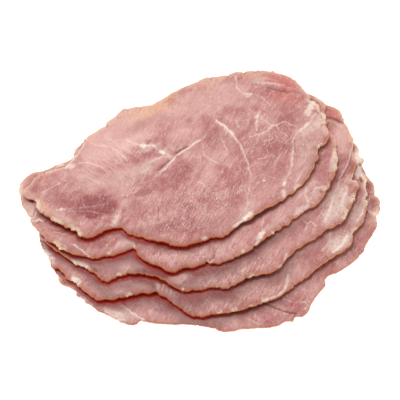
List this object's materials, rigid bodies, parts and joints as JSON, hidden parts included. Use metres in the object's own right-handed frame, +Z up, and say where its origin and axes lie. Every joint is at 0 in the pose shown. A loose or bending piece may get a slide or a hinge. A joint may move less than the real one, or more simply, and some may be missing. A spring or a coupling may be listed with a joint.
{
  "type": "fanned stack of sliced ham",
  "caption": "Thin slices of cooked ham lying fanned out on each other, left ends bunched and front and right edges stepped.",
  "frame": {"origin": "centre of the stack's box, on the surface it lies on", "axes": "+Z up; +X to the right, along the slices, away from their bunched ends; +Y to the back, so the slices step down towards -Y"},
  "size_m": [0.1994, 0.1638, 0.0151],
  "materials": {
    "ham": "moist cooked ham: pink fibrous meat with pale fat seams and a thin brown rind at the cut edge"
  },
  "bodies": {
    "root": {"slice_1": "ham", "slice_2": "ham", "slice_3": "ham", "slice_4": "ham", "slice_5": "ham"}
  },
  "joints": []
}
